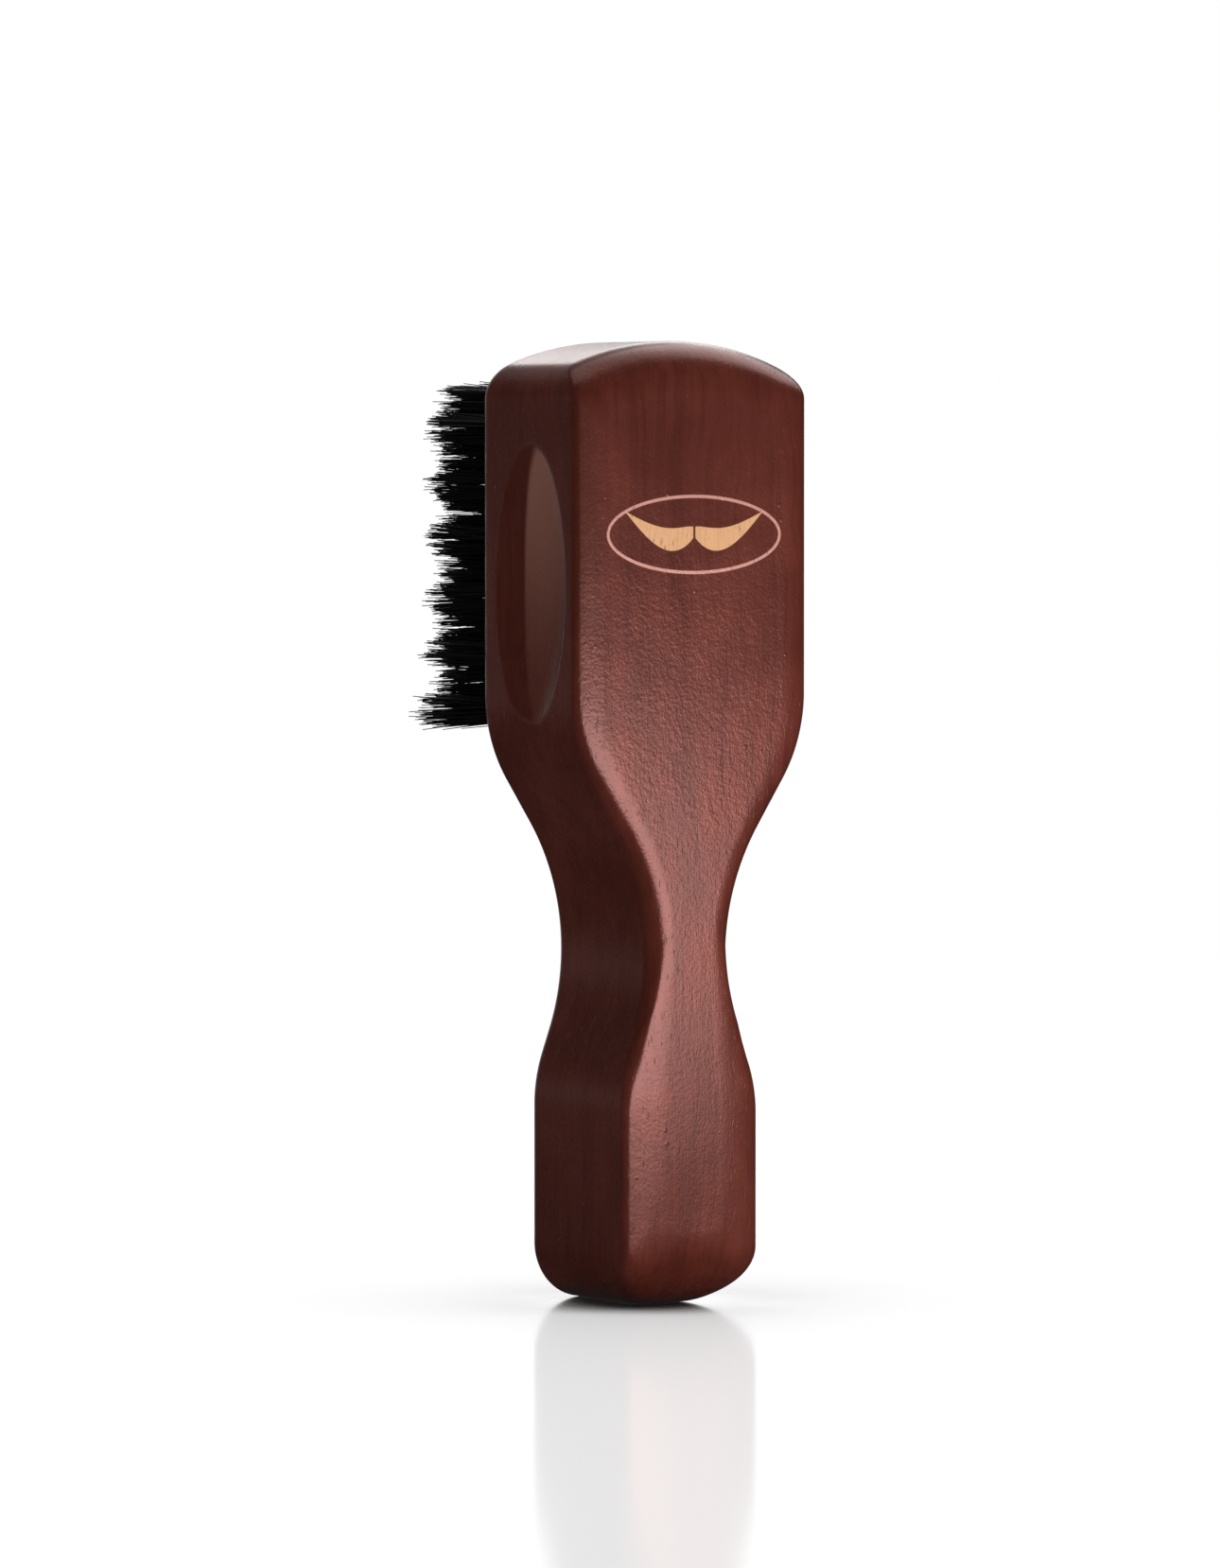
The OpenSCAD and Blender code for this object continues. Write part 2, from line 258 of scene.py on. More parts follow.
class Recipe:
    """Adds nodes to one tree, of a shader or of geometry."""

    def __init__(self, tree):
        self.tree = tree

    def node(self, kind, settings=None, sockets=None, output=0):
        """Adds a node: its settings first, then the values or links of its sockets.
        A ramp's stops are given as "stops": [(place, colour), ...]."""
        made = self.tree.nodes.new(kind)
        for name, value in (settings or {}).items():
            if name == "stops":
                self._set_stops(made.color_ramp, value)
            else:
                setattr(made, name, value)
        for key, value in (sockets or {}).items():
            if isinstance(value, Link):
                self.tree.links.new(value.socket, made.inputs[key])
            else:
                made.inputs[key].default_value = value
        if not made.outputs:
            return made
        return Link(self, made.outputs[output])

    @staticmethod
    def _set_stops(ramp, stops):
        while len(ramp.elements) < len(stops):
            ramp.elements.new(1)
        for element, (place, value) in zip(ramp.elements, stops):
            element.position = place
            element.color = value

    def also(self, link, output):
        """Another output of the node that a link comes from."""
        return Link(self, link.socket.node.outputs[output])

    def math(self, operation, *values):
        return self.node("ShaderNodeMath", {"operation": operation}, dict(enumerate(values)))

    def vector(self, operation, first, second=None, scale=None):
        sockets = {0: first}
        if second is not None:
            sockets[1] = second
        if scale is not None:
            sockets["Scale"] = scale
        return self.node("ShaderNodeVectorMath", {"operation": operation}, sockets)

    def split(self, vector):
        x = self.node("ShaderNodeSeparateXYZ", sockets={0: vector})
        return x, self.also(x, 1), self.also(x, 2)

    def join(self, x, y, z):
        return self.node("ShaderNodeCombineXYZ", sockets={0: x, 1: y, 2: z})

    def ease(self, value, low, high, start=0.0, end=1.0):
        """Runs smoothly from start to end as the value goes from low to high."""
        return self.node(
            "ShaderNodeMapRange",
            {"interpolation_type": "SMOOTHSTEP"},
            {"Value": value, 1: low, 2: high, 3: start, 4: end},
        )

    def noise(self, place, scale, detail=2.0, roughness=0.5):
        return self.node(
            "ShaderNodeTexNoise",
            sockets={"Vector": place, "Scale": scale, "Detail": detail, "Roughness": roughness},
        )

    def blend(self, factor, first, second):
        """Mixes two colours."""
        return self.node(
            "ShaderNodeMix", {"data_type": "RGBA"}, {0: factor, 6: first, 7: second}, output=2
        )

    def bump(self, strength, distance, height):
        return self.node(
            "ShaderNodeBump",
            sockets={"Strength": strength, "Distance": distance, "Height": height},
        )

    def surface(self, **sockets):
        """A Principled shader. Underscores in the names stand for spaces."""
        named = {name.replace("_", " "): value for name, value in sockets.items()}
        return self.node("ShaderNodeBsdfPrincipled", sockets=named)

    def object_place(self):
        """Object coordinates, in metres."""
        return self.node("ShaderNodeTexCoord", output=3)


def opaque(rgb, shade=1):
    """A colour with its alpha, darkened by a shade below 1."""
    return (*(value * shade for value in rgb), 1)


def new_material(name, rgb):
    """A material with an empty node tree. The plain colour is what solid views show."""
    made = bpy.data.materials.new(name)
    made.use_nodes = True
    made.node_tree.nodes.clear()
    made.diffuse_color = opaque(rgb)
    return made, Recipe(made.node_tree)


def finish_material(recipe, shader):
    recipe.node("ShaderNodeOutputMaterial", sockets={"Surface": shader})


def place_in_mm(recipe):
    """Object coordinates in millimetres."""
    return recipe.vector("SCALE", recipe.object_place(), scale=1 / MM)


# ------------------------------------------------------------------ materials

# Height of the scales on a bristle and of the drawing lines on a wire
FINE_RELIEF = 0.02 * MM


def mark_masks(recipe, across, up):
    """The mark on the brush's face: an oval frame round a moustache.
    Gives the masks of the frame's line and of the moustache."""
    half_w, half_h, line = 14.3, 5.3, 0.22
    reach = abs(across)
    u, v = across / half_w, up / half_h
    level = recipe.math("SQRT", u * u + v * v)
    slope = recipe.math("SQRT", (u / half_w) * (u / half_w) + (v / half_h) * (v / half_h))
    from_oval = abs((level - 1) * level / recipe.math("MAXIMUM", slope, 0.01))
    frame_line = recipe.ease(from_oval, line * 0.7, line * 1.3, 1, 0)
    # a moustache: two locks that swell out from the middle and curl up at their tips
    s = reach / 11.6
    inside = recipe.math("MAXIMUM", 1 - s, 0)
    lock_mid = 2.9 * s * s * s - 2.2 * recipe.math("SINE", s * 2.9) * inside + 0.4
    lock_half = 4.3 * recipe.math("MAXIMUM", s + 0.03, 0) ** 0.55 * inside**1.1
    off = abs(up - lock_mid) - lock_half
    moustache = recipe.ease(off, -0.07, 0.07, 1, 0) * recipe.ease(s, 0.99, 1.0, 1, 0)
    parting = recipe.ease(reach, 0.12, 0.24)
    return frame_line, moustache * parting


def wood_material(finish, b, crown_z, face_y):
    """Stained wood under satin lacquer. Sizes in here are in millimetres."""
    wood, r = new_material("Stained lacquered wood", finish.stain_mid)
    crown, face, head_side = crown_z / MM, face_y / MM, b.head_w / 2 / MM
    p = place_in_mm(r)
    x, y, z = r.split(p)

    # grain that runs up the brush and wanders a little
    sway = r.noise(p, 0.045, 2) - 0.5
    gx, gy = x + sway * 5, y + sway * 3
    streak = r.noise(r.join(gx, gy, z * 0.035), 0.95, 5, 0.62)
    fibre = r.noise(r.join(gx, gy, z * 0.05), 4.2, 3, 0.6)
    bands = r.noise(r.join(gx, gy * 0.6, z * 0.018), 0.16, 2, 0.5)
    pores = r.ease(r.noise(r.join(gx, gy, z * 0.16), 2.6, 2, 0.55), 0.62, 0.74)
    cloud = r.noise(p, 0.07, 3, 0.6)

    tone = r.blend(
        r.ease(bands * 0.55 + streak * 0.45, 0.36, 0.64),
        opaque(finish.stain_mid),
        opaque(finish.stain_light),
    )
    tone = r.blend(
        r.ease(streak, 0.5, 0.3) * (0.6 * finish.grain), tone, opaque(finish.dark_grain_and_edge_shade)
    )
    tone = r.blend(
        r.ease(fibre, 0.35, 0.7) * (0.28 * finish.grain), tone, opaque(finish.stain_light)
    )
    tone = r.blend(r.ease(cloud, 0.62, 0.4) * 0.3, tone, opaque(finish.dark_grain_and_edge_shade))
    tone = r.blend(pores * (0.75 * finish.grain), tone, opaque(finish.pore))

    # painted shade: away from the crown, the sides and the edges are painted towards the dark
    # stain colour, as shade where they turn away from the light; the marked face is left as it is
    painted_edge_shade = r.ease(y, -face + 0.12, -face + 0.6) * 0.35
    painted_edge_shade = painted_edge_shade * r.ease(z, crown - 9, crown - 5, 1.0, 0.0)
    tone = r.blend(painted_edge_shade, tone, opaque(finish.dark_grain_and_edge_shade))

    # painted light: a lighter colour is painted into the finger scoops where light falls on their
    # walls, most of all at their upper ends: inside the scoop's rim, inside a narrower oval set
    # towards the marked face, and below the level of the head's side. There the lacquer is also
    # rougher and loses its fibre gloss.
    oval_shift, oval_width = 0.32, 0.84
    level_low, level_high = head_side - 3.2, head_side - 2.9
    up = (z - (crown_z - b.scoop_below_crown) / MM) / (b.scoop_len / 2 / MM)
    over = (y + b.scoop_shift / MM) / (b.scoop_w / 2 / MM)
    sunk = r.math("SQRT", up * up + over * over) + (sway * 0.04)
    painted_scoop_light = r.ease(sunk, 1.0, 0.96) * r.ease(up, -0.9, 0.9, 0.15, 1.0)
    oval = (over + oval_shift) / oval_width
    painted_scoop_light = painted_scoop_light * r.ease(r.math("SQRT", up * up + oval * oval), 1.04, 0.94)
    painted_scoop_light = painted_scoop_light * r.ease(abs(x), level_low, level_high)
    tone = r.blend(painted_scoop_light, tone, opaque(finish.painted_scoop_light))

    # the mark lets the natural wood show, on the marked face only
    mark_below_crown = 27.0
    frame_line, moustache = mark_masks(r, x, z - (crown - mark_below_crown))
    on_face = r.ease(y, -face + 0.6, -face + 0.3)
    bare = r.blend(
        r.ease(fibre, 0.3, 0.7) * 0.5, opaque(finish.bare_wood), opaque(finish.bare_wood, 0.72)
    )
    worn = 1 - pores * 0.6
    tone = r.blend(moustache * on_face * worn, tone, bare)
    tone = r.blend(frame_line * on_face * worn * 0.85, tone, opaque(finish.mark_line))

    # lacquer: ripples as in sprayed satin, with dust nibs and open pores
    ripple = r.noise(p, 1.1, 2, 0.55)
    pebble = r.noise(r.join(x * 1.3, y * 1.3, z), 2.1, 1, 0.5)
    patch = r.ease(cloud, 0.3, 0.7, 0.45, 1.0) * r.ease(z, 35.0, 75.0, 0.55, 1.0)
    patch = patch * r.ease(z, 95.0, 125.0, 1.0, 0.6)
    nib = r.node("ShaderNodeTexVoronoi", {"feature": "F1"}, {"Vector": p, "Scale": 0.17})
    nib = r.ease(nib, 0.06, 0.03)
    height = (ripple * 0.6 + pebble * 0.5) * patch + nib * 0.5 - pores * 0.2 + fibre * 0.2
    shader = r.surface(
        Base_Color=tone,
        Roughness=finish.lacquer_roughness + (cloud - 0.5) * 0.12 + pores * 0.1 + painted_scoop_light * 0.2,
        Metallic=finish.fibre_gloss * (1 - moustache * on_face) * (1 - painted_scoop_light),
        Specular_IOR_Level=0.3,
        Normal=r.bump(1.0, finish.peel, height),
    )
    finish_material(r, shader)
    return wood


def bristle_material(finish, face_y, bristle_len):
    """Dark bristles: duller at the wood, a little paler and drier at the tips."""
    bristle, r = new_material("Black bristle", finish.bristle_root)
    p = place_in_mm(r)
    x, y, z = r.split(p)
    out = r.ease(y, face_y / MM, (face_y + bristle_len) / MM)
    strand = r.noise(r.join(x, y * 0.12, z), 3.4, 2, 0.6)
    tone = r.blend(
        out * r.ease(strand, 0.35, 0.7), opaque(finish.bristle_root), opaque(finish.bristle_tip)
    )
    scales = r.noise(r.join(x, y * 3, z), 2.5, 2)
    shader = r.surface(
        Base_Color=tone,
        Roughness=0.5 + (strand - 0.5) * 0.3,
        Specular_IOR_Level=0.35,
        Normal=r.bump(0.5, FINE_RELIEF, scales),
    )
    finish_material(r, shader)
    return bristle


def wire_material(finish):
    """Flat steel wire with drawing lines along it and a few dull patches."""
    wire, r = new_material("Flat steel wire", finish.wire)
    p = place_in_mm(r)
    x, y, z = r.split(p)
    drawn = r.noise(r.join(x * 0.3, y * 9, z * 9), 1.4, 3, 0.6)
    dull = r.noise(p, 0.8, 2)
    tone = r.blend(
        r.ease(dull, 0.4, 0.7) * 0.5, opaque(finish.wire), opaque(finish.wire, 0.6)
    )
    shader = r.surface(
        Base_Color=tone,
        Metallic=1.0,
        Roughness=0.3 + drawn * 0.15 + dull * 0.1,
        Normal=r.bump(0.4, FINE_RELIEF, drawn),
    )
    finish_material(r, shader)
    return wire


# ------------------------------------------------------------------ the body's shape

# Steps across a sloping margin, across its rounded edge and across a side wall
MARGIN_STEPS = 5
EDGE_STEPS = 8
WALL_STEPS = 60
# Steps along each arc of the outline, and along the straight that follows it
ARC_STEPS = {"butt": 22, "hip": 14, "hollow": 46, "shoulder": 34, "corner": 24, "crown": 26}
RUN_STEPS = {"butt": 16, "hip": 3, "hollow": 6, "shoulder": 110, "corner": 0}
# Width of the narrow band that keeps the shading of a flat face flat
FLAT_BAND = 0.08 * MM
# Edges that turn by more than this are shaded as sharp
SHARP_ANGLE = math.radians(40)


def lean(climb, step, radii):
    """Lean of the line that joins two opposed arcs whose radii add up to radii, where
    the outline climbs and steps sideways."""
    return math.atan2(climb, radii - step) - math.acos(radii / math.hypot(climb, radii - step))


def neck_fit(b):
    """How far a short or a strongly waisted neck draws its three arcs in."""

    def room(climb, wide, radii):
        step = (wide - b.waist_w) / 2
        return 0.98 * (climb * climb + step * step) / (2 * step) / radii

    lower = room(b.lower_neck_len, b.handle_w, b.hip_r + b.waist_r)
    upper = room(b.upper_neck_len, b.head_w, b.waist_r + b.shoulder_r)
    return min(1, lower, upper)


def arc_stations(mid, radius, a0, a1, steps, share_0=0.0, share_1=0.0):
    """Stations (x, z, end share) along an arc. The share says how far the edge there is
    shaped as an end is, and not as a side is, and it eases along the arc."""
    stations = []
    for i in range(steps + 1):
        a = a0 + (a1 - a0) * i / steps
        ease = (1 - math.cos(math.pi * i / steps)) / 2
        share_here = share_0 + (share_1 - share_0) * ease
        stations.append((mid[0] + radius * math.cos(a), mid[1] + radius * math.sin(a), share_here))
    return stations


def outline(b, head_in, waist_in, handle_in, butt_in, crown_in, butt_r, corner_r):
    """The +X half of the hourglass outline, from the butt's flat to the crown's middle.
    Each size that ends in _in says how far that stretch lies inside the body's own."""
    waist_z = b.handle_len + b.lower_neck_len
    shoulder_z = waist_z + b.upper_neck_len
    crown_z = shoulder_z + b.head_len
    head = b.head_w / 2 - head_in
    waist = b.waist_w / 2 - waist_in
    handle = b.handle_w / 2 - handle_in
    fit = neck_fit(b)
    hip = b.hip_r * fit - handle_in
    hollow = b.waist_r * fit + waist_in
    shoulder = b.shoulder_r * fit - head_in
    crown = b.crown_r - crown_in
    crown_mid = crown_z - crown_in - crown
    corner_x = head - corner_r
    corner_z = crown_mid + math.sqrt((crown - corner_r) ** 2 - corner_x**2)
    corner_a = math.atan2(corner_z - crown_mid, corner_x)
    hip_a = lean(b.lower_neck_len, handle - waist, hip + hollow)
    shoulder_a = lean(b.upper_neck_len, head - waist, hollow + shoulder)
    half, quarter = math.pi, math.pi / 2
    arcs = {
        "butt": ((handle - butt_r, butt_in + butt_r), butt_r, -quarter, 0, 1, 0),
        "hip": ((handle - hip, b.handle_len), hip, 0, hip_a, 0, 0),
        "hollow": ((waist + hollow, waist_z), hollow, half + hip_a, half - shoulder_a, 0, 0),
        "shoulder": ((head - shoulder, shoulder_z), shoulder, -shoulder_a, 0, 0, 0),
        "corner": ((corner_x, corner_z), corner_r, 0, corner_a, 0, 1),
        "crown": ((0, crown_mid), crown, corner_a, quarter, 1, 1),
    }
    line = []
    for name, (mid, radius, a0, a1, share_0, share_1) in arcs.items():
        stretch = arc_stations(mid, radius, a0, a1, ARC_STEPS[name], share_0, share_1)
        if name == "crown":
            stretch = stretch[1:]
        elif line:
            line += run_between(line[-1], stretch[0], previous_run)
        line += stretch
        previous_run = RUN_STEPS.get(name, 0)
    return line


def run_between(start, end, steps):
    """Stations between two others, along a straight."""
    return [
        tuple(a + (c - a) * i / steps for a, c in zip(start, end)) for i in range(1, steps)
    ]


def look_up(value, table):
    """The second numbers of a table, read off between its first ones."""
    table = sorted(table)
    if value <= table[0][0]:
        return table[0][1]
    for (v0, w0), (v1, w1) in zip(table, table[1:]):
        if value <= v1:
            return w0 if v1 == v0 else w0 + (w1 - w0) * (value - v0) / (v1 - v0)
    return table[-1][1]


class BodyShape:
    """The lines that the wood is shaped to."""

    def __init__(self, sizes):
        b = sizes
        self.b = b
        self.waist_z = b.handle_len + b.lower_neck_len
        self.shoulder_z = self.waist_z + b.upper_neck_len
        self.crown_z = self.shoulder_z + b.head_len
        self.face_y = b.body_t / 2
        back_r = b.back_margin - b.back_ease
        back_side = (b.back_margin, back_r, b.back_slope)
        self.front_sections = (
            (b.handle_margin, b.side_edge_r, b.other_slope),
            (b.waist_margin, b.waist_edge_r, b.other_slope),
            (b.head_margin, b.side_edge_r, b.head_slope),
            (b.butt_margin, b.butt_edge_r, b.other_slope),
            (b.crown_margin, b.crown_edge_r, b.other_slope),
        )
        self.back_sections = (
            back_side,
            back_side,
            back_side,
            (b.back_butt_margin, b.back_butt_margin - b.back_ease, b.back_slope),
            (b.back_crown_margin, b.back_crown_margin - b.back_ease, b.back_slope),
        )
        self.body = outline(b, 0, 0, 0, 0, 0, b.butt_corner_r, b.crown_corner_r)
        self.front = self.face_line(self.front_sections)
        self.back = self.face_line(self.back_sections)

    def face_line(self, sections):
        """The outline of a flat face, inside its margins."""
        handle, waist, head, butt, crown = (margin for margin, _, _ in sections)
        corner = (self.b.handle_w / 2 - handle) * 0.75
        return outline(self.b, head, waist, handle, butt, crown, corner, self.b.flat_crown_r)

    def section(self, at, sections):
        """Margin, edge radius and slope at a station of the body's outline."""
        end = sections[4 if at[1] > self.waist_z else 3]
        heights = (self.b.handle_len, self.waist_z, self.shoulder_z)
        sides = (
            look_up(at[1], [(z, shape[q]) for z, shape in zip(heights, sections)])
            for q in range(3)
        )
        return [side + (last - side) * at[2] for side, last in zip(sides, end)]

    def flat_reach(self, z):
        """Half width of the flat bristle face at height z."""
        return look_up(z, [(at[1], at[0]) for at in self.back])

    def edge_ring(self, face_line, side, sections, t):
        """Half a ring on the edge between a flat face (t = 0) and the side walls (t = 2)."""
        ring = []
        for edge, at in zip(face_line, self.body):
            out, depth = across(self.section(at, sections), t)
            ring.append(
                (
                    edge[0] + (at[0] - edge[0]) * out,
                    side * (self.face_y - depth),
                    edge[1] + (at[1] - edge[1]) * out,
                )
            )
        return ring

    def rings(self):
        """Closed rings from the marked face round to the bristle face."""
        steps = [i / MARGIN_STEPS for i in range(MARGIN_STEPS + 1)]
        steps += [1 + i / EDGE_STEPS for i in range(1, EDGE_STEPS + 1)]
        front = [self.edge_ring(self.front, -1, self.front_sections, t) for t in steps]
        back = [self.edge_ring(self.back, 1, self.back_sections, t) for t in reversed(steps)]
        wall = []
        for k in range(1, WALL_STEPS):
            t = k / WALL_STEPS
            wall.append(
                [tuple(p + (q - p) * t for p, q in zip(*pair)) for pair in zip(front[-1], back[0])]
            )
        return [close_ring(half) for half in front + wall + back]


def across(shape, t):
    """A point of an edge's section: share of the way out from the flat face, and depth
    below it. The margin (t from 0 to 1) bends down evenly to its slope, and the rounded
    edge (t from 1 to 2) takes over there and ends square to the face."""
    margin, r, slope = shape
    run = margin - r * (1 - math.sin(slope))
    fall = run * math.tan(slope) / 2
    if t <= 1:
        return t * run / margin, t * t * fall
    a = slope + (math.pi / 2 - slope) * (t - 1)
    return 1 - r * (1 - math.sin(a)) / margin, fall + r * (math.cos(slope) - math.cos(a))


def close_ring(half):
    """Adds the -X half of a ring whose last point is in the middle of the crown."""
    return half + [(-x, y, z) for x, y, z in reversed(half[:-1])]


def inner_ring(ring, inset):
    """A flat ring drawn in by an inset."""
    points = [Vector((x, z)) for x, _, z in ring]
    drawn = []
    for i, at in enumerate(points):
        along = points[(i + 1) % len(points)] - points[i - 1]
        inwards = Vector((-along.y, along.x)).normalized()
        drawn.append((at.x + inwards.x * inset, ring[i][1], at.y + inwards.y * inset))
    return drawn


class Shell:
    """A mesh in the making."""

    def __init__(self):
        self.points = []
        self.faces = []

    def add(self, points):
        first = len(self.points)
        self.points += points
        return list(range(first, len(self.points)))

    def bridge(self, low, high):
        """Quads between two rings of as many points."""
        n = len(low)
        for i in range(n):
            j = (i + 1) % n
            self.faces.append((low[i], low[j], high[j], high[i]))

    def close_flat(self, ring, towards_back, holes=()):
        """Triangles over a flat ring, apart from its holes."""
        bounds = [ring, *holes]
        index = [i for loop in bounds for i in loop]
        flat = [Vector((self.points[i][0], self.points[i][2])) for i in index]
        edges, first = [], 0
        for loop in bounds:
            n = len(loop)
            edges += [(first + i, first + (i + 1) % n) for i in range(n)]
            first += n
        placed, _, triangles, origins, _, _ = delaunay_2d_cdt(flat, edges, [], 1, 1e-9)
        middles = [
            sum((Vector(self.points[i]) for i in hole), Vector()) / len(hole) for hole in holes
        ]
        reach = [
            (Vector(self.points[hole[0]]) - mid).length for hole, mid in zip(holes, middles)
        ]
        for triangle in triangles:
            a, b, c = (placed[i] for i in triangle)
            centre = (a + b + c) / 3
            if any(
                (centre - Vector((m.x, m.z))).length < d for m, d in zip(middles, reach)
            ):
                continue
            corners = [index[origins[i][0]] for i in triangle]
            turns_left = (b - a).cross(c - a) > 0
            # seen from the back, X runs to the left, so a left turn there looks forwards
            if turns_left == towards_back:
                corners.reverse()
            self.faces.append(tuple(corners))

    def mesh(self, name):
        made = bpy.data.meshes.new(name)
        made.from_pydata(self.points, [], self.faces)
        made.validate()
        work = bmesh.new()
        work.from_mesh(made)
        bmesh.ops.recalc_face_normals(work, faces=work.faces)
        if work.calc_volume(signed=True) < 0:
            bmesh.ops.reverse_faces(work, faces=work.faces)
        work.to_mesh(made)
        work.free()
        return made


def bristle_rows(body, t):
    """The tuft holes (x, z) of each row, in the order of the part's nodes."""
    pitch = (body.b.head_len - t.top_margin + t.row_overrun) / (ROWS - 1)
    need = t.hole_d / 2 + t.edge_land
    rows = []
    for k in range(ROWS):
        z = body.crown_z - t.top_margin - k * pitch
        reach = min(
            body.flat_reach(z) - need, body.flat_reach(z + need), body.flat_reach(z - need)
        )
        most = math.ceil(body.b.head_w / t.tuft_pitch)
        places = [(i + (k % 2) / 2) * t.tuft_pitch for i in range(-most, most + 1)]
        rows.append([(x, z) for x in places if abs(x) <= reach])
    return rows


HOLE_SIDES = 24


def block_mesh(body, t):
    """The shaped and drilled block, before its sides are scooped."""
    shell = Shell()
    rings = [shell.add(ring) for ring in body.rings()]
    for low, high in zip(rings, rings[1:]):
        shell.bridge(low, high)
    front = shell.add(inner_ring([shell.points[i] for i in rings[0]], FLAT_BAND))
    shell.bridge(front, rings[0])
    shell.close_flat(front, towards_back=False)
    back = shell.add(inner_ring([shell.points[i] for i in rings[-1]], FLAT_BAND))
    shell.bridge(rings[-1], back)

    radius, depth, point = t.hole_d / 2, t.hole_depth, t.hole_d / 4
    mouths = []
    for x, z in (place for row in bristle_rows(body, t) for place in row):
        circle = [
            (math.cos(math.tau * i / HOLE_SIDES), math.sin(math.tau * i / HOLE_SIDES))
            for i in range(HOLE_SIDES)
        ]
        mouth, foot = (
            shell.add([(x + radius * c, y, z + radius * s) for c, s in circle])
            for y in (body.face_y, body.face_y - depth)
        )
        (tip,) = shell.add([(x, body.face_y - depth - point, z)])
        shell.bridge(mouth, foot)
        for i in range(HOLE_SIDES):
            shell.faces.append((foot[i], foot[(i + 1) % HOLE_SIDES], tip))
        mouths.append(mouth)
    shell.close_flat(back, towards_back=True, holes=mouths)
    return shell.mesh("Shaped block")


# ------------------------------------------------------------------ geometry nodes


class Workshop:
    """A geometry node tree with named inputs, and what puts an object through it."""

    def __init__(self, name):
        self.tree = bpy.data.node_groups.new(name, "GeometryNodeTree")
        for way in ("INPUT", "OUTPUT"):
            self.tree.interface.new_socket(
                "Geometry", in_out=way, socket_type="NodeSocketGeometry"
            )
        self.recipe = Recipe(self.tree)
        self.sockets = {}

    def inputs(self, kind="NodeSocketFloat", **values):
        """Adds named inputs. Their default values are what they are made with."""
        for name, value in values.items():
            socket = self.tree.interface.new_socket(
                name.replace("_", " ").capitalize(), in_out="INPUT", socket_type=kind
            )
            if kind != "NodeSocketMaterial":
                socket.default_value = value
            self.sockets[name] = (socket.identifier, value)

    def open(self):
        """Links to the geometry that comes in and to each named input."""
        group = self.tree.nodes.new("NodeGroupInput")
        links = {"geometry": Link(self.recipe, group.outputs[0])}
        for place, name in enumerate(self.sockets, start=1):
            links[name] = Link(self.recipe, group.outputs[place])
        return links

    def close(self, geometry, material):
        """Realizes what was made, gives it its material and ends the tree."""
        r = self.recipe
        real = r.node("GeometryNodeRealizeInstances", sockets={"Geometry": geometry})
        painted = r.node(
            "GeometryNodeSetMaterial", sockets={"Geometry": real, "Material": material}
        )
        r.node("NodeGroupOutput", sockets={0: painted})

    def run(self, mesh, name, **changes):
        """Puts a mesh through the tree and gives the result as a plain mesh object."""
        stock = bpy.data.objects.new(name + "_stock", mesh)
        bpy.context.scene.collection.objects.link(stock)
        modifier = stock.modifiers.new(self.tree.name, "NODES")
        modifier.node_group = self.tree
        for key, (identifier, value) in self.sockets.items():
            modifier[identifier] = changes.get(key, value)
        graph = bpy.context.evaluated_depsgraph_get()
        made = bpy.data.meshes.new_from_object(stock.evaluated_get(graph))
        made.name = name
        stock.modifiers.remove(modifier)
        bpy.data.objects.remove(stock)
        bpy.data.meshes.remove(mesh)
        if not made.polygons:
            raise RuntimeError(f"{name} came out of its node tree with no faces")
        piece = bpy.data.objects.new(name, made)
        bpy.context.scene.collection.objects.link(piece)
        return piece


def scoop_workshop(body, material):
    """Hollows both sides as a long spindle beside the head would cut them."""
    b = body.b
    shop = Workshop("Finger scoops")
    shop.inputs(
        scoop_length=b.scoop_len,
        scoop_width=b.scoop_w,
        scoop_depth=b.scoop_depth,
        scoop_height=body.crown_z - b.scoop_below_crown,
        scoop_shift=b.scoop_shift,
        head_width=b.head_w,
        rim_softness=b.scoop_rim,
    )
    shop.inputs("NodeSocketMaterial", wood=material)
    put = shop.open()
    r = shop.recipe
    depth = put["scoop_depth"]
    half_w, half_len = put["scoop_width"] / 2, put["scoop_length"] / 2
    spindle_r = (half_w * half_w + depth * depth) / (2 * depth)
    profile_r = (half_len * half_len + depth * depth) / (2 * depth)
    x, y, z = r.split(r.node("GeometryNodeInputPosition"))
    up = z - put["scoop_height"]
    bow = r.math("SQRT", r.math("MAXIMUM", profile_r * profile_r - up * up, 0.0))
    girth = r.math("MAXIMUM", spindle_r - profile_r + bow, 0.0)
    beside = y + put["scoop_shift"]
    swell = r.math("SQRT", r.math("MAXIMUM", girth * girth - beside * beside, 0.0))
    floor = put["head_width"] / 2 + spindle_r - depth - swell
    cut = r.math("SMOOTH_MIN", abs(x), floor, put["rim_softness"])
    side = r.math("SIGN", x)
    shaped = r.node(
        "GeometryNodeSetPosition",
        sockets={"Geometry": put["geometry"], "Position": r.join(cut * side, y, z)},
    )
    smooth = r.node("GeometryNodeSetShadeSmooth", sockets={"Geometry": shaped})
    shop.close(smooth, put["wood"])
    return shop


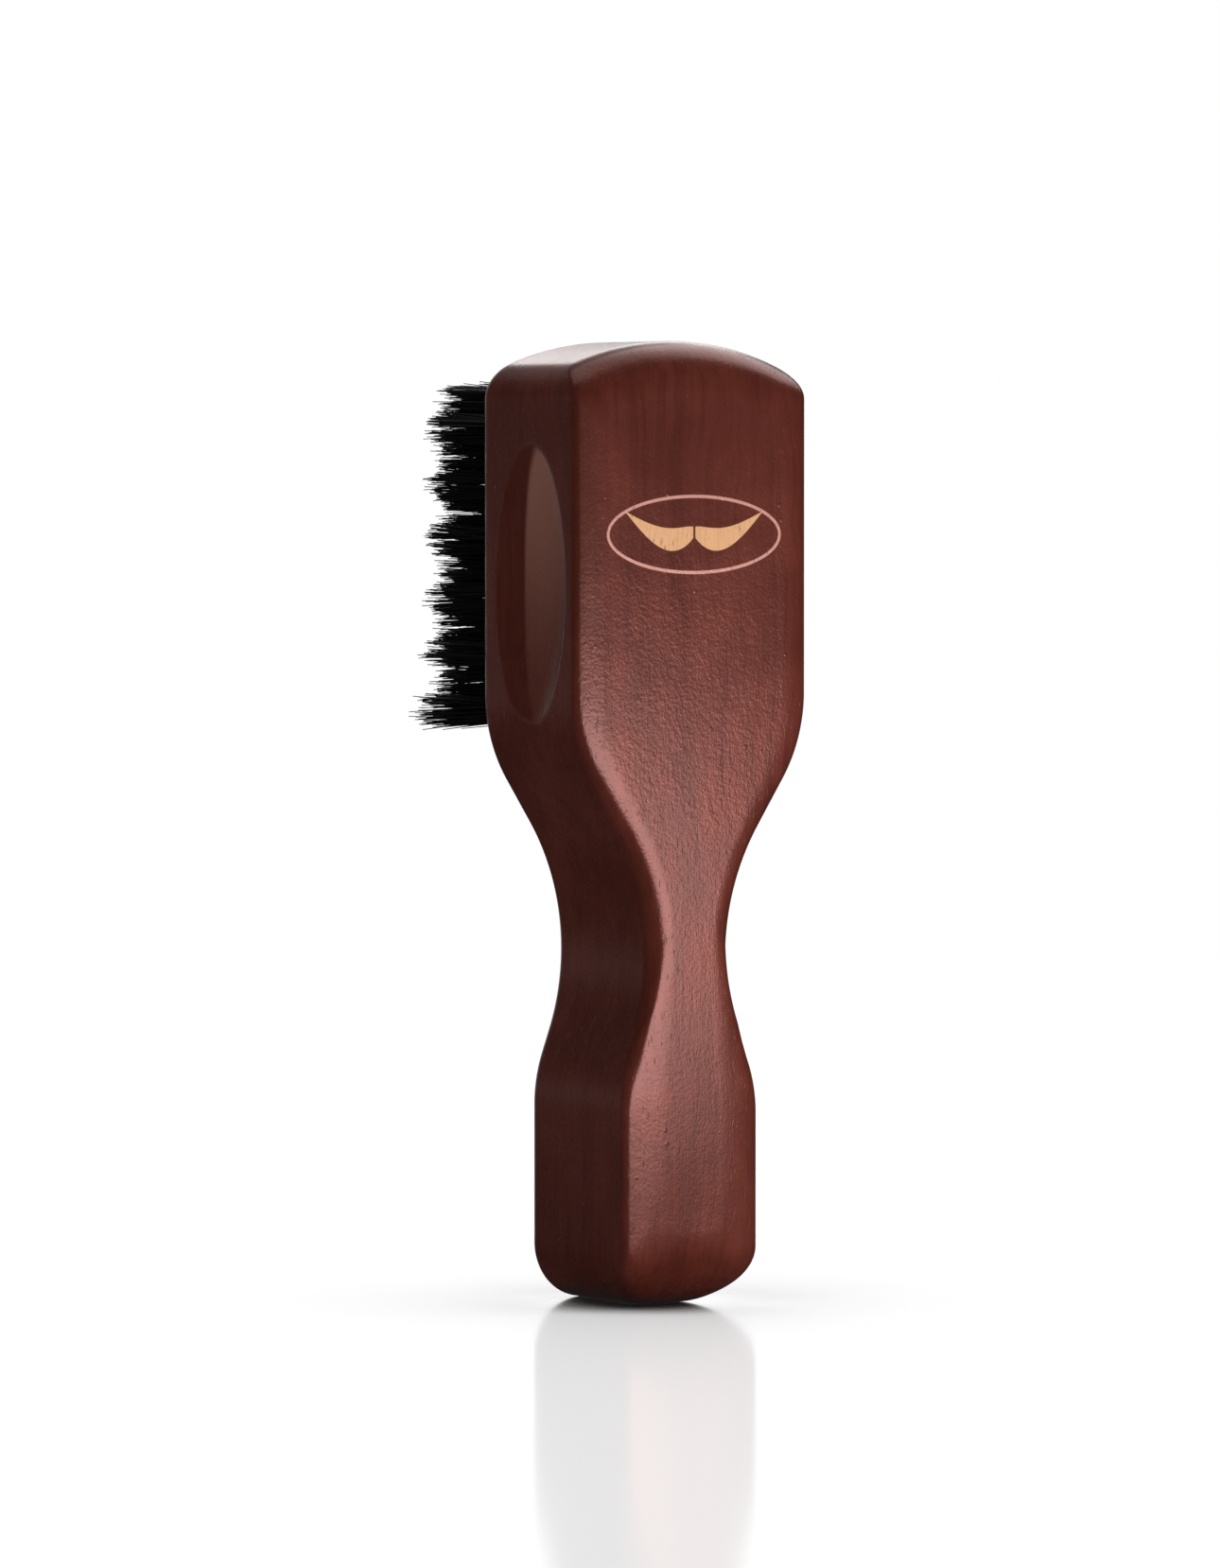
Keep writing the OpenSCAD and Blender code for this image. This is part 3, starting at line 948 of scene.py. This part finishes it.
def tuft_workshop(body, t, material):
    """Fills each tuft hole that comes in, as a point at its mouth, with bristles."""
    shop = Workshop("Bristle tufts")
    shop.inputs(
        bristle_length=t.bristle_len,
        root_depth=t.root_depth,
        root_radius=t.root_d / 2,
        wire_gap=t.wire_gap / 2,
        hair_radius=t.hair_d / 2,
        flare=t.flare,
        flare_rise=t.flare_rise,
        curl=t.curl,
        splay=t.splay,
        spread=t.spread,
        stray=t.stray,
        ragged_tips=t.ragged,
        uneven_tufts=t.uneven,
        face_depth=body.face_y,
        half_head=body.b.head_w / 2,
        row_lean=0.0,
    )
    shop.inputs("NodeSocketInt", hairs=t.hairs, seed=t.seed)
    shop.inputs("NodeSocketMaterial", bristle=material)
    put = shop.open()
    r = shop.recipe

    def random(low, high, more, who=None):
        sockets = {2: low, 3: high, "Seed": put["seed"] * 40 + more}
        if who is not None:
            sockets["ID"] = who
        return r.node("FunctionNodeRandomValue", {"data_type": "FLOAT"}, sockets, output=1)

    index = r.node("GeometryNodeInputIndex")
    kept = r.node(
        "GeometryNodeStoreNamedAttribute",
        {"data_type": "INT", "domain": "POINT"},
        {"Geometry": put["geometry"], "Name": "tuft", "Value": index},
    )
    ends = r.node(
        "GeometryNodeDuplicateElements",
        {"domain": "POINT"},
        {"Geometry": kept, "Amount": put["hairs"]},
    )
    tuft = r.node("GeometryNodeInputNamedAttribute", {"data_type": "INT"}, {"Name": "tuft"})

    # a place in the hole, on one side of the wire that the tuft is folded over
    around = random(0.0, math.tau, 1)
    away = random(0.0, 1.0, 2) ** 0.5
    disc_x = away * r.math("COSINE", around)
    disc_z = away * r.math("SINE", around)
    gap = put["wire_gap"]
    from_x = disc_x * put["root_radius"]
    from_z = disc_z * (put["root_radius"] - gap) + r.math("SIGN", disc_z) * gap
    x, _, _ = r.split(r.node("GeometryNodeInputPosition"))
    along = x / put["half_head"]

    # how far the bristle leans for each length that it stands out, and how it curls
    lean_x = along * put["splay"] + disc_x * put["spread"]
    lean_x = lean_x + random(-1.0, 1.0, 3) * random(0.0, 1.0, 4) * put["stray"]
    lean_z = put["row_lean"] * put["splay"] + disc_z * put["spread"] * 0.5
    lean_z = lean_z + random(-1.0, 1.0, 5) * random(0.0, 1.0, 6) * put["stray"]
    lean_z = lean_z + random(-1.0, 1.0, 7, tuft) * put["stray"] * 0.5
    curl_x = random(-1.0, 1.0, 8) * put["curl"]
    curl_z = random(-1.0, 1.0, 9) * put["curl"]
    reach = 1 + random(-1.0, 1.0, 10, tuft) * put["uneven_tufts"]
    reach = reach + random(-1.0, 1.0, 11) * random(0.0, 1.0, 12) * put["ragged_tips"]
    full = put["root_depth"] + put["bristle_length"] * reach

    stored = ends
    for name, value in (
        ("lean", r.join(lean_x, 0.0, lean_z)),
        ("bend", r.join(curl_x, 0.0, curl_z)),
        ("swell", r.join(disc_x * put["flare"], 0.0, disc_z * put["flare"] * 0.6)),
    ):
        stored = r.node(
            "GeometryNodeStoreNamedAttribute",
            {"data_type": "FLOAT_VECTOR", "domain": "POINT"},
            {"Geometry": stored, "Name": name, "Value": value},
        )
    rooted = r.node(
        "GeometryNodeSetPosition",
        sockets={"Geometry": stored, "Offset": r.join(from_x, -put["root_depth"], from_z)},
    )

    # one bristle, of unit length along Z, that tapers to its tip
    spine = r.node("GeometryNodeCurvePrimitiveLine", sockets={"End": (0, 0, 1)})
    spine = r.node("GeometryNodeResampleCurve", {"mode": "COUNT"}, {"Curve": spine, "Count": 8})
    factor = r.node("GeometryNodeSplineParameter")
    ring = r.node(
        "GeometryNodeCurvePrimitiveCircle",
        {"mode": "RADIUS"},
        {"Resolution": 3, "Radius": put["hair_radius"]},
    )
    hair = r.node(
        "GeometryNodeCurveToMesh",
        sockets={
            "Curve": spine,
            "Profile Curve": ring,
            "Scale": 1 - r.ease(factor, 0.4, 1.0) * 0.5,
            "Fill Caps": True,
        },
    )
    turned = r.node(
        "FunctionNodeEulerToRotation",
        sockets={0: r.join(-math.pi / 2, random(0.0, math.tau, 13), 0.0)},
    )
    planted = r.node(
        "GeometryNodeInstanceOnPoints",
        sockets={
            "Points": rooted,
            "Instance": hair,
            "Rotation": turned,
            "Scale": r.join(1.0, 1.0, full),
        },
    )
    real = r.node("GeometryNodeRealizeInstances", sockets={"Geometry": planted})

    # the part outside the wood leans and curls
    _, height, _ = r.split(r.node("GeometryNodeInputPosition"))
    out = r.math("MAXIMUM", height - put["face_depth"], 0.0)
    named = [
        r.node("GeometryNodeInputNamedAttribute", {"data_type": "FLOAT_VECTOR"}, {"Name": name})
        for name in ("lean", "bend", "swell")
    ]
    bent = out / put["bristle_length"]
    offset = r.vector(
        "ADD",
        r.vector("SCALE", named[0], scale=out),
        r.vector("SCALE", named[1], scale=bent * bent),
    )
    swollen = r.vector("SCALE", named[2], scale=r.ease(out, 0.0, put["flare_rise"]))
    offset = r.vector("ADD", offset, swollen)
    combed = r.node("GeometryNodeSetPosition", sockets={"Geometry": real, "Offset": offset})
    for name in ("tuft", "lean", "bend", "swell"):
        combed = r.node(
            "GeometryNodeRemoveAttribute", sockets={"Geometry": combed, "Name": name}
        )
    smooth = r.node("GeometryNodeSetShadeSmooth", sockets={"Geometry": combed})
    shop.close(smooth, put["bristle"])
    return shop


# ------------------------------------------------------------------ operators


class BRUSH_OT_stage(Operator):
    """Set up the floor, the lights, the backdrop and the camera"""

    bl_idname = "beard_brush.stage"
    bl_label = "Studio"

    def execute(self, context):
        s = context.scene.brush_studio
        self.set_camera(context, s)
        self.set_world(context, s)
        floor = self.make_floor(context, s)
        off_floor = bpy.data.collections.new("All but the floor")
        off_floor.objects.link(floor)
        off_floor.collection_objects[0].light_linking.link_state = "EXCLUDE"
        only_floor = bpy.data.collections.new("Only the floor")
        only_floor.objects.link(floor)
        lit = {"brush": off_floor, "floor": only_floor}
        for light, receivers in self.make_lights(context):
            light.light_linking.receiver_collection = lit[receivers]
        context.scene.view_settings.view_transform = "Standard"
        context.scene.view_settings.look = "None"
        return {"FINISHED"}

    def set_camera(self, context, s):
        a, e = s.view_azimuth, s.view_elevation
        towards = Vector((math.sin(a) * math.cos(e), -math.cos(a) * math.cos(e), math.sin(e)))
        turned = towards.to_track_quat("Z", "Y")
        right, up = turned @ Vector((1, 0, 0)), turned @ Vector((0, 1, 0))
        aim = Vector((0, 0, s.aim_height)) - right * s.aim_left + up * s.aim_up
        lens = bpy.data.cameras.new("Camera")
        lens.sensor_fit = "VERTICAL"
        lens.sensor_height = 24
        lens.lens = lens.sensor_height * s.view_distance / s.view_height
        lens.clip_start = 0.05
        lens.clip_end = 20
        camera = bpy.data.objects.new("Camera", lens)
        camera.rotation_euler = turned.to_euler()
        camera.location = aim + towards * s.view_distance
        context.scene.collection.objects.link(camera)
        context.scene.camera = camera

    def set_world(self, context, s):
        """White to the eye, softer on matt surfaces and dim in reflections."""
        world = bpy.data.worlds.new("Studio")
        world.use_nodes = True
        world.node_tree.nodes.clear()
        r = Recipe(world.node_tree)
        seen = r.node("ShaderNodeLightPath")
        diffuse, glossy = r.also(seen, "Is Diffuse Ray"), r.also(seen, "Is Glossy Ray")
        other = 1 - diffuse - glossy
        strength = diffuse * s.ambient + glossy * s.gloom + other * s.backdrop
        sky = r.node(
            "ShaderNodeBackground", sockets={"Color": (1, 1, 1, 1), "Strength": strength}
        )
        r.node("ShaderNodeOutputWorld", sockets={"Surface": sky})
        context.scene.world = world

    def make_floor(self, context, s):
        half = s.floor_size / 2
        mesh = bpy.data.meshes.new("Floor")
        corners = [(-half, -half, 0), (half, -half, 0), (half, half, 0), (-half, half, 0)]
        mesh.from_pydata(corners, [], [(0, 1, 2, 3)])
        white, r = new_material("White sweep", (1, 1, 1))
        place = r.object_place()
        grit = r.bump(0.1, 0.01 * MM, r.noise(place, 900.0, 2))
        matt = r.node(
            "ShaderNodeBsdfDiffuse",
            sockets={"Color": opaque([s.floor_white] * 3), "Normal": grit},
        )
        gloss = r.node(
            "ShaderNodeBsdfGlossy", sockets={"Color": (1, 1, 1, 1), "Roughness": 0.12}
        )
        # glossier where the butt end stands, out to a little beyond it
        contact_in, contact_out = 7 * MM, 24 * MM
        from_axis = r.also(r.vector("LENGTH", place), 1)
        near = r.ease(from_axis, contact_out, contact_in, s.floor_gloss, s.contact_gloss)
        both = r.node("ShaderNodeMixShader", sockets={0: near, 1: matt, 2: gloss})
        # the sweep melts into the white backdrop behind the brush
        away = r.also(r.vector("DOT_PRODUCT", place, self.backwards(s)), 1)
        clear = r.node("ShaderNodeBsdfTransparent")
        melted = r.node(
            "ShaderNodeMixShader",
            sockets={0: r.ease(away, s.melt_start, s.melt_end), 1: both, 2: clear},
        )
        finish_material(r, melted)
        mesh.materials.append(white)
        floor = bpy.data.objects.new("Floor", mesh)
        floor.visible_glossy = False
        context.scene.collection.objects.link(floor)
        return floor

    @staticmethod
    def backwards(s):
        """The level direction from the camera on behind the brush."""
        return (-math.sin(s.view_azimuth), math.cos(s.view_azimuth), 0)

    def make_lights(self, context):
        """Softboxes: name, what they light, azimuth, elevation and distance from the
        aim, height of the aim, width, height and radiance."""
        boxes = (
            ("Key softbox", "brush", 10, 0, 180, 45, 146, 60, 11.6),
            ("Top softbox", "brush", 160, 78, 330, 130, 340, 280, 1.15),
            ("Crown softbox", "brush", 106, 47, 420, 125, 360, 260, 3.3),
            ("Rim softbox", "brush", 148, 26, 600, 125, 260, 160, 3.4),
            ("Side softbox", "brush", 213, 0, 700, 55, 300, 90, 0.3),
            ("Backdrop light", "floor", 165, 12, 2000, 100, 1900, 1500, 1.0),
            ("Back softbox", "brush", 165, 12, 2000, 100, 1900, 1500, 0.6),
            ("Floor light", "floor", 0, 90, 2500, 0, 8000, 8000, 0.75),
        )
        made = []
        for name, receivers, azimuth, elevation, distance, aim, width, height, radiance in boxes:
            a, e = math.radians(azimuth), math.radians(elevation)
            towards = Vector(
                (math.sin(a) * math.cos(e), -math.cos(a) * math.cos(e), math.sin(e))
            )
            lamp = bpy.data.lights.new(name, "AREA")
            lamp.shape = "RECTANGLE"
            lamp.size, lamp.size_y = width * MM, height * MM
            lamp.energy = radiance * math.pi * lamp.size * lamp.size_y
            light = bpy.data.objects.new(name, lamp)
            light.location = Vector((0, 0, aim * MM)) + towards * distance * MM
            light.rotation_euler = towards.to_track_quat("Z", "Y").to_euler()
            light.visible_camera = False
            context.scene.collection.objects.link(light)
            made.append((light, receivers))
        return made


class BRUSH_OT_wood_body(Operator):
    """Make the shaped, scooped and drilled wooden body"""

    bl_idname = "beard_brush.wood_body"
    bl_label = "Wooden body"

    def execute(self, context):
        scene = context.scene
        body = BodyShape(scene.brush_body)
        wood = wood_material(scene.brush_finish, body.b, body.crown_z, body.face_y)
        shop = scoop_workshop(body, wood)
        piece = shop.run(block_mesh(body, scene.brush_bristles), "shaped_wood_body")
        piece.data.set_sharp_from_angle(angle=SHARP_ANGLE)
        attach(piece, BODY)
        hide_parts("wood_body")
        return {"FINISHED"}


class BRUSH_OT_bristles(Operator):
    """Fill every tuft hole with bristles, row by row"""

    bl_idname = "beard_brush.bristles"
    bl_label = "Bristle tufts"

    def execute(self, context):
        scene = context.scene
        t = scene.brush_bristles
        body = BodyShape(scene.brush_body)
        bristle = bristle_material(scene.brush_finish, body.face_y, t.bristle_len)
        shop = tuft_workshop(body, t, bristle)
        for k, places in enumerate(bristle_rows(body, t)):
            node = f"bristle_row_{k + 1:02}"
            low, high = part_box(node)
            if not low.z < places[0][1] < high.z:
                raise RuntimeError(f"{node} isn't at the height of its tuft holes")
            mouths = bpy.data.meshes.new(node + "_mouths")
            mouths.from_pydata([(x, body.face_y, z) for x, z in places], [], [])
            row_lean = (1 - 2 * k / (ROWS - 1)) / 4
            longer = 1 + (t.long_end if k == ROWS - 1 else 0)
            piece = shop.run(
                mouths,
                f"bristles_{k + 1:02}",
                row_lean=row_lean,
                bristle_length=t.bristle_len * longer,
                seed=t.seed + k,
            )
            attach(piece, BODY)
            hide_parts(node)
        return {"FINISHED"}


class BRUSH_OT_anchors(Operator):
    """Give the flat wire anchors their drawn steel"""

    bl_idname = "beard_brush.anchors"
    bl_label = "Wire anchors"

    def execute(self, context):
        wire = wire_material(context.scene.brush_finish)
        for k in range(ROWS):
            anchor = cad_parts[f"anchor_row_{k + 1:02}"]
            for slot in anchor.material_slots:
                slot.material = wire
        return {"FINISHED"}


class BRUSH_PT_panel(Panel):
    """Lists the steps that build the brush"""

    bl_idname = "BRUSH_PT_panel"
    bl_label = "Beard brush"
    bl_space_type = "VIEW_3D"
    bl_region_type = "UI"
    bl_category = "Brush"

    def draw(self, context):
        for step in STEPS:
            self.layout.operator(step.bl_idname)
        for group in SETTINGS:
            box = self.layout.box()
            settings = getattr(context.scene, group)
            for name in SETTINGS[group].__annotations__:
                box.prop(settings, name)


SETTINGS = {
    "brush_body": BrushBodySizes,
    "brush_bristles": BrushBristleSizes,
    "brush_finish": BrushFinish,
    "brush_studio": BrushStudio,
}
STEPS = (BRUSH_OT_stage, BRUSH_OT_wood_body, BRUSH_OT_bristles, BRUSH_OT_anchors)


def register():
    for name, group in SETTINGS.items():
        bpy.utils.register_class(group)
        setattr(bpy.types.Scene, name, PointerProperty(type=group))
    for made in (*STEPS, BRUSH_PT_panel):
        bpy.utils.register_class(made)


def unregister():
    for made in (BRUSH_PT_panel, *reversed(STEPS)):
        bpy.utils.unregister_class(made)
    for name, group in SETTINGS.items():
        delattr(bpy.types.Scene, name)
        bpy.utils.unregister_class(group)


def main():
    register()
    bpy.ops.beard_brush.stage()
    bpy.ops.beard_brush.wood_body()
    bpy.ops.beard_brush.bristles()
    bpy.ops.beard_brush.anchors()
    bpy.context.view_layer.update()


if __name__ == "__main__":
    main()
